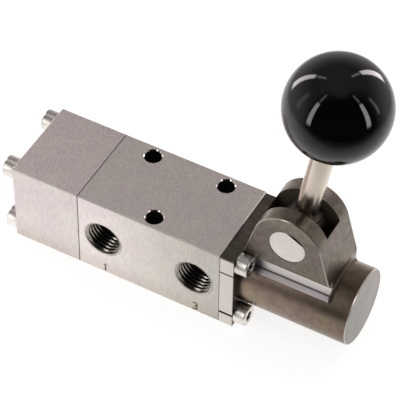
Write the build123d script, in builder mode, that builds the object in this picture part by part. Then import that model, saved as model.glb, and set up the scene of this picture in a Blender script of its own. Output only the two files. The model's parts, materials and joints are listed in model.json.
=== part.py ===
from build123d import *
from math import cos, hypot, radians, sin, sqrt, tan
import os

# Hand lever air valve: a 3/2-way, spring-return spool valve with three G1/4 ports.
#
# A ball-knobbed lever turns on a pin in the clevis of the lever housing. The finger of its hub
# reaches down into a plunger on the valve's axis, and pushes the spool to the left through a
# stack of seals and spacers, against a spring in the end cap.
#
# Frame, in millimetres: X runs along the valve towards the lever, -Y is the face with ports 1
# and 3, and +Z is up. The origin is the middle of the valve body's underside.

# ---------------------------------------------------------------- valve body
body_width = 30.5             # the square section that body, cap and flange share
body_height = 30.5
edge_break = 0.3              # chamfer of the long edges
joint_break = 0.15            # chamfer round the joints between cap, body and flange
bore_diameter = 14.0          # through bore that holds the seals and spacers

# ports, G1/4
port_diameter = 13.157        # major diameter of the thread
port_depth = 7.0
port_mouth = 0.2              # chamfer at the thread's mouth
port_spacing = 32.2           # port 1 to port 3
port_to_end = 8.9             # from port 1 and port 3 to the joint at the nearer end of the body
port_passage = 8.5            # drilled on from the port into the bore

# mounting holes, straight down through the body
mount_hole = 5.5
mount_spacing = 26.0          # between the two holes of the rear row
mount_inset = 4.2             # from the nearer long face
mount_mouth = 0.3

# ---------------------------------------------------------------- end cap
cap_length = 23.7
cap_bottom = 2.5              # wall that closes the spring pocket
spring_pocket = 12.0          # diameter

# ---------------------------------------------------------------- cap screws, M4
screw_thread = 4.0
screw_head = 7.0
screw_head_height = 4.0
screw_socket = 3.0            # across flats
screw_socket_depth = 2.2
screw_inset = 3.7             # of each screw's axis from the two faces at its corner
screw_hole_play = 0.15        # radial, in the clearance holes
screw_thread_play = 0.02      # radial, in the tapped holes
cap_screw_length = 30.0
housing_screw_length = 12.0
tapped_extra = 2.0            # drilled on past the screw's end

# ---------------------------------------------------------------- lever housing
flange_thickness = 4.8
flange_drop = 0.5             # the flange's top lies this much under the body's
housing_length = 36.55        # from the flange's outer face to the closed end
housing_screw_gap = 0.33      # between the round barrel and the heads of the screws beside it
housing_bore = 17.0           # for the plunger
housing_end_wall = 4.35
mark_groove_depth = 0.25      # two witness grooves across the flange's front edge
upper_mark_width, upper_mark_height = 0.35, 23.6
lower_mark_width, lower_mark_height = 0.9, 5.05

# clevis that carries the pin
pivot_setback = 14.4          # of the pin from the flange's outer face
pivot_rise = 24.49            # of the pin above the valve's axis
clevis_width = 19.0
clevis_radius = 11.25         # round top of the lugs, about the pivot
clevis_slant = 15.5           # degrees off vertical, of the lugs' sides
clevis_base_width = 29.2      # along the valve, at the foot
clevis_edge = 0.25            # chamfer round the lugs' outer faces
lever_slot = 8.5              # between the lugs
lever_slot_length = 20.8
run_play = 0.1                # above and below the upper screws' heads, in the runs beside the foot
run_side_play = 1.0           # between those heads and the foot
rear_run_length = 20.0        # the front run is as long as the foot
clevis_fillet = 1.0           # where the clevis rises from the barrel, towards the closed end

# ---------------------------------------------------------------- lever
pin_head = 12.0               # diameter of the pin's front end, as long as its lug is thick
pin_shank = 6.0               # diameter on from there, in the hub and the rear lug
pin_press = 0.01              # radial, in the lugs
pin_recess = 0.1              # of the pin's ends under the lugs' faces
pin_flat_depth = 1.1
pin_flat_angle = 60.6         # of the flat's normal above the valve's axis
hub_play = 0.05               # radial, between hub and pin
hub_diameter = 14.0
hub_side_play = 0.2           # between the hub and each lug
boss_width = 9.4              # along the valve, where the rod enters the hub
boss_rise = 0.2               # of the boss above the hub's round
lever_tilt = 9.0              # degrees of the rod from vertical, towards the closed end
rod_diameter = 7.2
rod_spigot = 5.0
rod_spigot_length = 3.0
rod_spigot_play = 0.03
knob_diameter = 32.0
knob_centre = 55.0            # from the pivot
knob_flat = 13.0              # of the ball's flat underside from its centre
insert_diameter = 12.0
insert_length = 14.0
insert_floor = 2.0            # of brass above the rod's end
insert_play = 0.02

# ---------------------------------------------------------------- spool, seals and plunger
stroke_angle = 18.0           # degrees of lever travel
spool_diameter = 8.0
spool_waist = 5.0
waist_taper = 0.6             # lead-in at each end of the waist
seal_width = 3.0
seal_play = 0.05              # radial, around the spool
seal_lip = 0.5                # depth of the rounded lip
spacer_wall = 1.6
stack_play = 0.05             # radial, of seals and spacers in their bore
spacer_hole = 3.0
spacer_holes = 4
spool_overhang = 0.5          # of the spool's left end out of the body
spigot_diameter = 4.0         # centres the spring seat and the spring
spigot_length = 4.0
seat_diameter = 11.0
seat_thickness = 1.5
spring_wire = 1.1
spring_mean = 8.0
spring_turns = 6
wire_sides = 6                # the wire's section is faceted
guide_thickness = 4.0
guide_play = 0.05
guide_seat_play = 0.03
plunger_play = 0.08           # radial, in the housing
plunger_gap = 0.3             # left at the stops at each end of the stroke
plunger_socket = 4.0          # depth that takes the spool's end
socket_play = 0.03
finger_tip = 5.0              # diameter of the hub's finger at the plunger
finger_shank = 3.6
finger_width = 6.0            # across the valve
finger_play = 0.06
finger_floor_play = 0.5
window_height = 3.0           # from the tip's centre up to the flat milled on the plunger
window_length = 14.0

# ---------------------------------------------------------------- places that follow
axis_height = body_height / 2
body_length = port_spacing + 2 * port_to_end
body_left = -body_length / 2
body_right = body_length / 2
cap_face = body_left - cap_length
body_front = -body_width / 2
body_rear = body_width / 2
flange_face = body_right + flange_thickness
housing_end = flange_face + housing_length
housing_bore_end = housing_end - housing_end_wall
screw_pitch_y = body_width - 2 * screw_inset
screw_pitch_z = body_height - 2 * screw_inset
housing_radius = hypot(screw_pitch_y, screw_pitch_z) / 2 - screw_head / 2 - housing_screw_gap
pivot_x = flange_face + pivot_setback
pivot_height = axis_height + pivot_rise
foot_width = screw_pitch_y - screw_head - 2 * run_side_play
run_floor = axis_height + screw_pitch_z / 2 - screw_head / 2 - run_play
# The lugs stand between the upper heads, so the runs are as high as a head is at a lug's face.
head_beside_lug = sqrt(max(screw_head**2 / 4 - max((screw_pitch_y - clevis_width) / 2, 0) ** 2, 0))
run_ceiling = axis_height + screw_pitch_z / 2 + head_beside_lug + run_play

# The finger swings as far past the vertical as it starts before it, so its height barely changes.
finger_angle = stroke_angle / 2
stroke = 2 * pivot_rise * sin(radians(finger_angle))
tip_x = pivot_x + stroke / 2
tip_height = pivot_height - pivot_rise * cos(radians(finger_angle))

hub_width = lever_slot - 2 * hub_side_play
boss_top = hub_diameter / 2 + boss_rise
spool_left = body_left - spool_overhang
plunger_left = body_right + guide_thickness + plunger_gap + stroke
plunger_right = housing_bore_end - plunger_gap
spool_right = plunger_left + plunger_socket
plunger_diameter = housing_bore - 2 * plunger_play

valve_axis = Axis((0, 0, axis_height), (1, 0, 0))
valve_side = Plane(origin=(0, 0, axis_height), x_dir=(1, 0, 0), z_dir=(0, -1, 0))
front_view = Plane(origin=(0, 0, 0), x_dir=(1, 0, 0), z_dir=(0, -1, 0))
lever_direction = (sin(radians(lever_tilt)), 0, cos(radians(lever_tilt)))
lever_across = (cos(radians(lever_tilt)), 0, -sin(radians(lever_tilt)))
pivot = Vector(pivot_x, 0, pivot_height)
rod_axis = Axis(pivot, lever_direction)
lever_side = Plane(origin=pivot, x_dir=lever_across, z_dir=(0, -1, 0))
along_rod = Plane(origin=pivot, x_dir=lever_across, z_dir=lever_direction)


def across_valve(x):
    """The plane square to the valve's axis at x, facing +X, with its own Y pointing up."""
    return Plane(origin=(x, 0, axis_height), x_dir=(0, 1, 0), z_dir=(1, 0, 0))


def along_y(x, z, y=0):
    """The plane facing +Y at this place."""
    return Plane(origin=(x, y, z), x_dir=(-1, 0, 0), z_dir=(0, 1, 0))


def save(part, label):
    part.label = label
    export_step(part, f"parts/{label}.step")


def ring(left, right, outer_radius, inner_radius):
    """A plain ring on the valve's axis, from left to right."""
    with BuildPart() as made:
        with BuildSketch(across_valve(left)):
            Circle(outer_radius)
            Circle(inner_radius, mode=Mode.SUBTRACT)
        extrude(amount=right - left)
    return made.part


os.makedirs("parts", exist_ok=True)

# ---------------------------------------------------------------- valve_body
# A square bar, bored through. Ports 1 and 3 open on the front face and port 2 on the rear.
front_ports = [(-port_spacing / 2, 0), (port_spacing / 2, 0)]
rear_port = (0, 0)
mount_places = [
    (-mount_spacing / 2, body_rear - mount_inset),
    (mount_spacing / 2, body_rear - mount_inset),
    (0, body_front + mount_inset),
]
front_face_plane = Plane(origin=(0, body_front, axis_height), x_dir=(1, 0, 0), z_dir=(0, -1, 0))
rear_face_plane = Plane(origin=(0, body_rear, axis_height), x_dir=(-1, 0, 0), z_dir=(0, 1, 0))

with BuildPart() as valve_body:
    with BuildSketch(across_valve(body_left)):
        Rectangle(body_width, body_height)
    extrude(amount=body_length)
    chamfer(valve_body.edges().filter_by(Axis.X), length=edge_break)
    chamfer(valve_body.faces().filter_by(Axis.X).edges(), length=joint_break)
    with Locations(across_valve(body_right)):
        Hole(radius=bore_diameter / 2, depth=body_length)
    for face_plane, places in ((front_face_plane, front_ports), (rear_face_plane, [rear_port])):
        with Locations(face_plane):
            with Locations(*places):
                CounterBoreHole(
                    radius=port_passage / 2,
                    counter_bore_radius=port_diameter / 2,
                    counter_bore_depth=port_depth,
                    depth=body_width / 2,
                )
    front_mouths = valve_body.faces().sort_by(Axis.Y)[0].inner_wires()
    rear_mouths = valve_body.faces().sort_by(Axis.Y)[-1].inner_wires()
    chamfer(front_mouths.edges() + rear_mouths.edges(), length=port_mouth)
    with Locations(Plane.XY.offset(body_height)):
        with Locations(*mount_places):
            Hole(radius=mount_hole / 2, depth=body_height)
    top_mouths = valve_body.faces().sort_by(Axis.Z)[-1].inner_wires()
    base_mouths = valve_body.faces().sort_by(Axis.Z)[0].inner_wires()
    chamfer(top_mouths.edges() + base_mouths.edges(), length=mount_mouth)
    tapped = screw_thread / 2 + screw_thread_play
    for end_plane, engaged in (
        (Plane(origin=(body_left, 0, axis_height), x_dir=(0, 1, 0), z_dir=(-1, 0, 0)),
         cap_screw_length - cap_length),
        (across_valve(body_right), housing_screw_length - flange_thickness),
    ):
        with Locations(end_plane):
            with GridLocations(screw_pitch_y, screw_pitch_z, 2, 2):
                Hole(radius=tapped, depth=engaged + tapped_extra)
save(valve_body.part, "valve_body")

# ---------------------------------------------------------------- end_cap
with BuildPart() as end_cap:
    with BuildSketch(across_valve(cap_face)):
        Rectangle(body_width, body_height)
    extrude(amount=cap_length)
    chamfer(end_cap.edges().filter_by(Axis.X), length=edge_break)
    chamfer(end_cap.faces().sort_by(Axis.X)[0].edges(), length=edge_break)
    chamfer(end_cap.faces().sort_by(Axis.X)[-1].edges(), length=joint_break)
    with Locations(across_valve(body_left)):
        Hole(radius=spring_pocket / 2, depth=cap_length - cap_bottom)
        with GridLocations(screw_pitch_y, screw_pitch_z, 2, 2):
            Hole(radius=screw_thread / 2 + screw_hole_play, depth=cap_length)
save(end_cap.part, "end_cap")

# ---------------------------------------------------------------- lever_housing
# A flange, a round barrel bored for the plunger, and a clevis whose sides lean in to a round top.
slant = radians(clevis_slant)
tangent_dx = clevis_radius * cos(slant)
tangent_dz = clevis_radius * sin(slant)
# The slanted side leaves the round top at the tangent point and ends at the foot's full width.
shoulder_drop = (clevis_base_width / 2 - tangent_dx) / tan(slant)
shoulder_height = pivot_height + tangent_dz - shoulder_drop

# the clevis's outline, drawn from the front; its foot is buried in the barrel
with BuildPart() as clevis:
    with BuildSketch(front_view):
        with BuildLine():
            foot_left = (pivot_x - clevis_base_width / 2, axis_height)
            foot_right = (pivot_x + clevis_base_width / 2, axis_height)
            shoulder_left = (foot_left[0], shoulder_height)
            shoulder_right = (foot_right[0], shoulder_height)
            tangent_left = (pivot_x - tangent_dx, pivot_height + tangent_dz)
            tangent_right = (pivot_x + tangent_dx, pivot_height + tangent_dz)
            Polyline(tangent_left, shoulder_left, foot_left, foot_right, shoulder_right,
                     tangent_right)
            ThreePointArc(tangent_right, (pivot_x, pivot_height + clevis_radius), tangent_left)
        make_face()
    extrude(amount=clevis_width / 2, both=True)
    lug_outlines = clevis.edges().filter_by(
        lambda edge: edge.center().Z > shoulder_height
        and abs(edge.position_at(0).Y - edge.position_at(1).Y) < 1e-4
    )
    chamfer(lug_outlines, length=clevis_edge)

with BuildPart() as lever_housing:
    with BuildSketch(across_valve(body_right)):
        with Locations((0, -flange_drop / 2)):
            Rectangle(body_width, body_height - flange_drop)
    extrude(amount=flange_thickness)
    chamfer(lever_housing.edges().filter_by(Axis.X), length=edge_break)
    chamfer(lever_housing.faces().filter_by(Axis.X).edges(), length=joint_break)
    with BuildSketch(across_valve(body_right)):
        Circle(housing_radius)
    extrude(amount=flange_thickness + housing_length)
    chamfer(lever_housing.faces().sort_by(Axis.X)[-1].edges(), length=edge_break)
    add(clevis.part)
    root = lever_housing.edges().filter_by(
        lambda edge: abs(edge.center().X - foot_right[0]) < 1e-4
        and edge.center().Z > axis_height
        and abs(edge.center().Y) < 1e-4
        and edge.length > lever_slot
    ).sort_by(Axis.Z)[0]
    fillet(root, radius=clevis_fillet)
    # the two runs beside the foot
    run_depth = (body_width - foot_width) / 2
    front_run_length = foot_right[0] - flange_face
    for side, run_length in ((-1, front_run_length), (1, rear_run_length)):
        with BuildSketch(Plane.XY.offset(run_floor)):
            with Locations((flange_face + run_length / 2, side * (foot_width + run_depth) / 2)):
                Rectangle(run_length, run_depth)
        extrude(amount=run_ceiling - run_floor, mode=Mode.SUBTRACT)
    # the slot for the lever, from the top down into the bore
    with BuildSketch(Plane.XY.offset(axis_height)):
        with Locations((pivot_x, 0)):
            Rectangle(lever_slot_length, lever_slot)
    extrude(amount=pivot_height + clevis_radius - axis_height, mode=Mode.SUBTRACT)
    with Locations(Plane(origin=(body_right, 0, axis_height), x_dir=(0, 1, 0), z_dir=(-1, 0, 0))):
        Hole(radius=housing_bore / 2, depth=housing_bore_end - body_right)
        with GridLocations(screw_pitch_y, screw_pitch_z, 2, 2):
            Hole(radius=screw_thread / 2 + screw_hole_play, depth=flange_thickness)
    with Locations(along_y(pivot_x, pivot_height, clevis_width / 2)):
        Hole(radius=pin_shank / 2 + pin_press, depth=clevis_width / 2)
    with Locations(front_view.offset(clevis_width / 2)):
        with Locations((pivot_x, pivot_height)):
            Hole(radius=pin_head / 2 + pin_press, depth=clevis_width / 2)
    # witness grooves on the flange's front edge
    for width, height in ((upper_mark_width, upper_mark_height), (lower_mark_width, lower_mark_height)):
        with BuildSketch(Plane(origin=(0, body_front, 0), x_dir=(1, 0, 0), z_dir=(0, -1, 0))):
            with Locations((body_right + flange_thickness / 2, height)):
                Rectangle(flange_thickness, width)
        extrude(amount=-mark_groove_depth, mode=Mode.SUBTRACT)
save(lever_housing.part, "lever_housing")


# ---------------------------------------------------------------- screws
def cap_screws(seat, facing, length, label):
    """Four socket cap screws whose heads sit on the plane x = seat and point along facing."""
    head_plane = Plane(origin=(seat, 0, axis_height), x_dir=(0, 1, 0), z_dir=(facing, 0, 0))
    with BuildPart() as screws:
        with BuildSketch(head_plane):
            with GridLocations(screw_pitch_y, screw_pitch_z, 2, 2):
                Circle(screw_head / 2)
        extrude(amount=screw_head_height)
        rim = screws.edges().filter_by(GeomType.CIRCLE).group_by(Axis.X)[-1 if facing > 0 else 0]
        chamfer(rim, length=edge_break)
        with BuildSketch(head_plane.offset(screw_head_height)):
            with GridLocations(screw_pitch_y, screw_pitch_z, 2, 2):
                RegularPolygon(screw_socket / sqrt(3), 6)
        extrude(amount=-screw_socket_depth, mode=Mode.SUBTRACT)
        with BuildSketch(head_plane):
            with GridLocations(screw_pitch_y, screw_pitch_z, 2, 2):
                Circle(screw_thread / 2)
        extrude(amount=-length)
    save(screws.part, label)


cap_screws(cap_face, -1, cap_screw_length, "end_cap_screws")
cap_screws(flange_face, 1, housing_screw_length, "housing_screws")


# ---------------------------------------------------------------- seals and spacers
# Four seals stand at the ends of the bore and half-way between the ports, with a spacer between
# each two that is drilled all round to let the air through.
stack_radius = bore_diameter / 2 - stack_play
seal_bore = spool_diameter / 2 + seal_play
spacer_bore = stack_radius - spacer_wall
seal_places = [
    body_left + seal_width / 2,
    -port_spacing / 4,
    port_spacing / 4,
    body_right - seal_width / 2,
]


def spool_seal(middle, label):
    """A ring with a rounded lip that wipes the spool."""
    with BuildPart() as seal:
        with BuildSketch(valve_side):
            with BuildLine():
                left, right = middle - seal_width / 2, middle + seal_width / 2
                lip_foot = seal_bore + seal_lip
                Polyline((left, lip_foot), (left, stack_radius), (right, stack_radius),
                         (right, lip_foot))
                ThreePointArc((right, lip_foot), (middle, seal_bore), (left, lip_foot))
            make_face()
        revolve(axis=valve_axis)
    save(seal.part, label)


def spacer(left, right, label):
    """A sleeve between two seals, with radial holes round its middle."""
    with BuildPart() as sleeve:
        with BuildSketch(across_valve(left)):
            Circle(stack_radius)
            Circle(spacer_bore, mode=Mode.SUBTRACT)
        extrude(amount=right - left)
        for turn in range(spacer_holes // 2):
            angle = turn * 360 / spacer_holes
            direction = (0, cos(radians(angle)), sin(radians(angle)))
            with BuildSketch(Plane(origin=((left + right) / 2, 0, axis_height),
                                   x_dir=(1, 0, 0), z_dir=direction)):
                Circle(spacer_hole / 2)
            extrude(amount=stack_radius, both=True, mode=Mode.SUBTRACT)
    save(sleeve.part, label)


for number, middle in enumerate(seal_places, start=1):
    spool_seal(middle, f"spool_seal_{number}")
for number, (middle, next_middle) in enumerate(zip(seal_places, seal_places[1:]), start=1):
    spacer(middle + seal_width / 2, next_middle - seal_width / 2, f"seal_spacer_{number}")

guide_radius = housing_bore / 2 - guide_seat_play
guide_hole = spool_diameter / 2 + guide_play
save(ring(body_right, body_right + guide_thickness, guide_radius, guide_hole), "guide_bush")

# ---------------------------------------------------------------- spool
# The waist is as long as the pitch of the inner seals and starts half a stroke to their right,
# so it joins ports 2 and 3 at rest, and ports 1 and 2 when the spool is pushed in.
waist_left = stroke / 2 - port_spacing / 4
waist_right = stroke / 2 + port_spacing / 4
with BuildPart() as spool:
    with BuildSketch(valve_side):
        with BuildLine():
            land, waist = spool_diameter / 2, spool_waist / 2
            Polyline(
                (spool_left - spigot_length, 0),
                (spool_left - spigot_length, spigot_diameter / 2),
                (spool_left, spigot_diameter / 2),
                (spool_left, land),
                (waist_left, land),
                (waist_left + waist_taper, waist),
                (waist_right - waist_taper, waist),
                (waist_right, land),
                (spool_right, land),
                (spool_right, 0),
                close=True,
            )
        make_face()
    revolve(axis=valve_axis)
save(spool.part, "spool")

seat_left = spool_left - seat_thickness
save(ring(seat_left, spool_left, seat_diameter / 2, spigot_diameter / 2 + socket_play), "spring_seat")

# ---------------------------------------------------------------- return_spring
spring_left = cap_face + cap_bottom + spring_wire / 2
spring_right = seat_left - spring_wire / 2
with BuildPart() as return_spring:
    coil = Helix(
        pitch=(spring_right - spring_left) / spring_turns,
        height=spring_right - spring_left,
        radius=spring_mean / 2,
        center=(spring_left, 0, axis_height),
        direction=(1, 0, 0),
        mode=Mode.PRIVATE,
    )
    with BuildSketch(Plane(origin=coil @ 0, z_dir=coil % 0)):
        RegularPolygon(spring_wire / 2, wire_sides)
    sweep(path=coil, is_frenet=True)
save(return_spring.part, "return_spring")

# ---------------------------------------------------------------- plunger
# It takes the spool's end in a socket, and the finger in a slot milled across a flat window.
with BuildPart() as plunger:
    with BuildSketch(across_valve(plunger_left)):
        Circle(plunger_diameter / 2)
    extrude(amount=plunger_right - plunger_left)
    chamfer(plunger.edges().filter_by(GeomType.CIRCLE), length=edge_break)
    with Locations(Plane(origin=(plunger_left, 0, axis_height), x_dir=(0, 1, 0), z_dir=(-1, 0, 0))):
        Hole(radius=spool_diameter / 2 + socket_play, depth=plunger_socket)
    with BuildSketch(front_view):
        with Locations((tip_x, tip_height + window_height)):
            Rectangle(window_length, plunger_diameter, align=(Align.CENTER, Align.MIN))
        slot_floor = tip_height - finger_tip / 2 - finger_floor_play
        with Locations((tip_x, slot_floor)):
            Rectangle(finger_tip + 2 * finger_play, plunger_diameter,
                      align=(Align.CENTER, Align.MIN))
    extrude(amount=plunger_diameter / 2, both=True, mode=Mode.SUBTRACT)
save(plunger.part, "plunger")

# ---------------------------------------------------------------- pivot_pin
# A shouldered pin: its wide front end fills the front lug, and has a flat.
pin_length = clevis_width - 2 * pin_recess
head_length = (clevis_width - lever_slot) / 2 - pin_recess
pin_end = Plane(origin=(pivot_x, -pin_length / 2, pivot_height), x_dir=(1, 0, 0), z_dir=(0, -1, 0))
with BuildPart() as pivot_pin:
    with BuildSketch(pin_end):
        Circle(pin_shank / 2)
    extrude(amount=-pin_length)
    with BuildSketch(pin_end):
        Circle(pin_head / 2)
    extrude(amount=-head_length)
    rims = pivot_pin.edges().filter_by(GeomType.CIRCLE).sort_by(Axis.Y)
    chamfer([rims[0], rims[-1]], length=edge_break)
    flat_axis = Plane(
        origin=(pivot_x, -pin_length / 2, pivot_height),
        x_dir=(cos(radians(pin_flat_angle)), 0, sin(radians(pin_flat_angle))),
        z_dir=(0, 1, 0),
    )
    with BuildSketch(flat_axis):
        with Locations((pin_head / 2 - pin_flat_depth, 0)):
            Rectangle(pin_head, pin_head, align=(Align.MIN, Align.CENTER))
    extrude(amount=head_length, mode=Mode.SUBTRACT)
save(pivot_pin.part, "pivot_pin")

# ---------------------------------------------------------------- lever_hub
# A disc on the pin with a boss for the rod, and a finger that hangs at the other angle.
finger_root = (hub_diameter + pin_shank) / 4
finger_side = Plane(
    origin=pivot,
    x_dir=(cos(radians(finger_angle)), 0, sin(radians(finger_angle))),
    z_dir=(0, -1, 0),
)
with BuildPart() as lever_hub:
    with BuildSketch(lever_side):
        Circle(hub_diameter / 2)
        with Locations((0, boss_top)):
            Rectangle(boss_width, boss_top, align=(Align.CENTER, Align.MAX))
    extrude(amount=hub_width / 2, both=True)
    with BuildSketch(finger_side):
        with Locations((0, -finger_root)):
            Rectangle(finger_shank, pivot_rise - finger_root, align=(Align.CENTER, Align.MAX))
        with Locations((0, -pivot_rise)):
            Circle(finger_tip / 2)
    extrude(amount=finger_width / 2, both=True)
    with Locations(along_y(pivot_x, pivot_height, hub_width / 2)):
        Hole(radius=pin_shank / 2 + hub_play, depth=hub_width)
    with Locations(along_rod.offset(boss_top)):
        Hole(radius=rod_spigot / 2 + rod_spigot_play, depth=rod_spigot_length)
save(lever_hub.part, "lever_hub")

# ---------------------------------------------------------------- lever_rod
insert_bottom = knob_centre - knob_flat
rod_top = insert_bottom + insert_length - insert_floor
spigot_bottom = boss_top - rod_spigot_length
with BuildPart() as lever_rod:
    with BuildSketch(along_rod.offset(boss_top)):
        Circle(rod_diameter / 2)
    extrude(amount=rod_top - boss_top)
    chamfer(lever_rod.edges().filter_by(GeomType.CIRCLE).sort_by(Axis.Z)[-1], length=edge_break)
    with BuildSketch(along_rod.offset(boss_top)):
        Circle(rod_spigot / 2)
    extrude(amount=spigot_bottom - boss_top)
save(lever_rod.part, "lever_rod")

# ---------------------------------------------------------------- knob_insert and ball_knob
with BuildPart() as knob_insert:
    with BuildSketch(along_rod.offset(insert_bottom)):
        Circle(insert_diameter / 2)
    extrude(amount=insert_length)
    with Locations(Plane(origin=along_rod.offset(insert_bottom).origin,
                         x_dir=lever_across, z_dir=-along_rod.z_dir)):
        Hole(radius=rod_diameter / 2 + insert_play, depth=insert_length - insert_floor)
save(knob_insert.part, "knob_insert")

knob_radius = knob_diameter / 2
knob_flat_radius = sqrt(knob_radius**2 - knob_flat**2)
with BuildPart() as ball_knob:
    with BuildSketch(lever_side):
        with BuildLine():
            rim = (knob_flat_radius, insert_bottom)
            crown = (0, knob_centre + knob_radius)
            pocket = insert_diameter / 2 + insert_play
            Polyline(crown, (0, insert_bottom + insert_length), (pocket, insert_bottom + insert_length),
                     (pocket, insert_bottom), rim)
            ThreePointArc(rim, (knob_radius, knob_centre), crown)
        make_face()
    revolve(axis=rod_axis)
save(ball_knob.part, "ball_knob")
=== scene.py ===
"""Looks of the hand lever air valve: metres, in the frame of the CAD model.

X runs along the valve towards the lever, -Y is the face with ports 1 and 3, and +Z is up.
"""
import json
import math

import bpy
import numpy as np
from mathutils import Matrix, Vector


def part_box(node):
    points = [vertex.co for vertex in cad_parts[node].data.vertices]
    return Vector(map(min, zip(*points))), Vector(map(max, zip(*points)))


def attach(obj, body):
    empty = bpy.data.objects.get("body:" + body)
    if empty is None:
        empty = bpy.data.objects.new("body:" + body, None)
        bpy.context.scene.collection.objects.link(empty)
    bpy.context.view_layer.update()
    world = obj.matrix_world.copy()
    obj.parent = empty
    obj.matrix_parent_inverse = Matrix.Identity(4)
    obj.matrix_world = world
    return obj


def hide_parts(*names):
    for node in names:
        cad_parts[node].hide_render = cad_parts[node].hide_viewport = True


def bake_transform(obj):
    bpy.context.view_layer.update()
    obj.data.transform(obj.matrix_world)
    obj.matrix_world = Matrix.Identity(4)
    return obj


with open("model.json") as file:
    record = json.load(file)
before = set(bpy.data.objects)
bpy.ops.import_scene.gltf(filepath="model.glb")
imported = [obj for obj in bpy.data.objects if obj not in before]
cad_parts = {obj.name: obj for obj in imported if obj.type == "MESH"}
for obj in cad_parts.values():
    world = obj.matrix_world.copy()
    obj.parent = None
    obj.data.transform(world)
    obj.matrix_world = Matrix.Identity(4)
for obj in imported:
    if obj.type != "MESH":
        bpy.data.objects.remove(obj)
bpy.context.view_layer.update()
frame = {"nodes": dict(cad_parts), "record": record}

MM = 0.001
FULL_TURN = 2 * math.pi

# -------------------------------- places in the CAD model
body_low, body_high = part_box("valve_body")
cap_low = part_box("end_cap")[0]
housing_low, housing_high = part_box("lever_housing")
pin_low, pin_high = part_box("pivot_pin")
rod_low, rod_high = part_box("lever_rod")
knob_low, knob_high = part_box("ball_knob")
housing_screw_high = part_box("housing_screws")[1]

axis_height = (body_low[2] + body_high[2]) / 2
body_left, body_right = float(body_low[0]), float(body_high[0])
front, rear = float(body_low[1]), float(body_high[1])
body_top = float(body_high[2])
housing_left, housing_end = float(housing_low[0]), float(housing_high[0])
flange_rear = float(housing_high[1])
pivot = np.array([(pin_low[0] + pin_high[0]) / 2, 0.0, (pin_low[2] + pin_high[2]) / 2])
pivot_x, pivot_height = float(pivot[0]), float(pivot[2])
lever_tilt = math.radians(9.0)
rod_direction = np.array([math.sin(lever_tilt), 0.0, math.cos(lever_tilt)])
rod_across = np.array([math.cos(lever_tilt), 0.0, -math.sin(lever_tilt)])

# The screws stand this far from the valve's axis, both across and up.
screw_corner = 11.55 * MM
# The mounting holes, with the chamfers at their mouths.
hole_x, hole_y = 13 * MM, 11.05 * MM
hole_radius, hole_mouth_radius, hole_mouth_depth = 2.75 * MM, 3.05 * MM, 0.3 * MM
# The housing: the flange with its two grooves, the barrel, the clevis and its lugs.
flange_face = housing_left + 4.8 * MM
groove_heights, groove_widths = (23.6 * MM, 5.05 * MM), (0.75 * MM, 1.1 * MM)
barrel_radius = 12.504 * MM
clevis_foot, clevis_end = 29.4 * MM, 58.82 * MM
lug_radius, lug_lean, lug_side = 11.25 * MM, math.radians(15.5), 9.5 * MM
lug_edge_foot = -9.8 * MM       # from the pivot, where the bright edges of the lugs end
# The runs beside the clevis's foot, and the slot through the clevis.
run_floor, run_ceiling = 23.2 * MM, 29.74 * MM
run_side, run_end = 7.05 * MM, pivot_x + 14.62 * MM
slot_left, slot_right, slot_side = 33.7 * MM, 54.7 * MM, 4.35 * MM
slot_floor, slot_top = 16 * MM, 60 * MM


# -------------------------------- surfaces
def arcs(corners, radii, steps=6):
    """The outline through corners, each rounded by an arc of its own radius.

    An arc of radius r leaves its two sides at r * tan(turn / 2) from the corner. Its points are
    the blend of the two tangent points that a circle gives.
    """
    corners = np.asarray(corners, float)
    outline = [corners[:1]]
    for before, corner, after, radius in zip(corners, corners[1:], corners[2:], radii):
        if radius == 0:
            outline.append(corner[None])
            continue
        back, ahead = before - corner, after - corner
        back, ahead = back / np.linalg.norm(back), ahead / np.linalg.norm(ahead)
        half = math.acos(np.clip(back @ ahead, -1, 1)) / 2
        middle = (back + ahead) / np.linalg.norm(back + ahead)
        centre = corner + middle * radius / math.sin(half)
        leg = radius / math.tan(half)
        start, end = corner + back * leg, corner + ahead * leg
        share = np.linspace(0, 1, steps + 1)[:, None]
        chord = (start - centre) * (1 - share) + (end - centre) * share
        outline.append(centre + radius * chord / np.linalg.norm(chord, axis=1)[:, None])
    outline.append(corners[-1:])
    return np.concatenate(outline)


def new_piece(name, vertices, faces, smooth=True):
    """A mesh placed in the scene, shaded smooth or flat."""
    mesh = bpy.data.meshes.new(name)
    mesh.from_pydata(vertices, [], faces)
    mesh.polygons.foreach_set("use_smooth", np.full(len(mesh.polygons), smooth))
    piece = bpy.data.objects.new(name, mesh)
    bpy.context.scene.collection.objects.link(piece)
    return piece


def skin(name, points, mark=None):
    """A smooth mesh over a grid of points[row, column], closed round its columns.

    A row whose points all coincide is a pole and becomes one vertex. Faces point to the side
    from which rows run upwards and columns run anticlockwise. mark is the name and the grid of
    a number that the material reads.
    """
    rows, columns = points.shape[:2]
    index = np.arange(rows * columns).reshape(rows, columns)
    pole = np.ptp(points, axis=1).max(axis=1) < 1e-9
    index[pole] = index[pole][:, :1]
    index = np.concatenate([index, index[:, :1]], axis=1)
    low, high = index[:-1], index[1:]
    quads = np.stack([low[:, :-1], low[:, 1:], high[:, 1:], high[:, :-1]], axis=-1).reshape(-1, 4)
    used, compact = np.unique(quads, return_inverse=True)
    faces = [list(dict.fromkeys(face)) for face in compact.reshape(-1, 4).tolist()]
    piece = new_piece(name, points.reshape(-1, 3)[used].tolist(), [f for f in faces if len(f) > 2])
    if mark is not None:
        values = np.ascontiguousarray(mark[1].reshape(-1)[used], dtype=np.float32)
        piece.data.attributes.new(mark[0], "FLOAT", "POINT").data.foreach_set("value", values)
    piece.data.update()
    return piece


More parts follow.
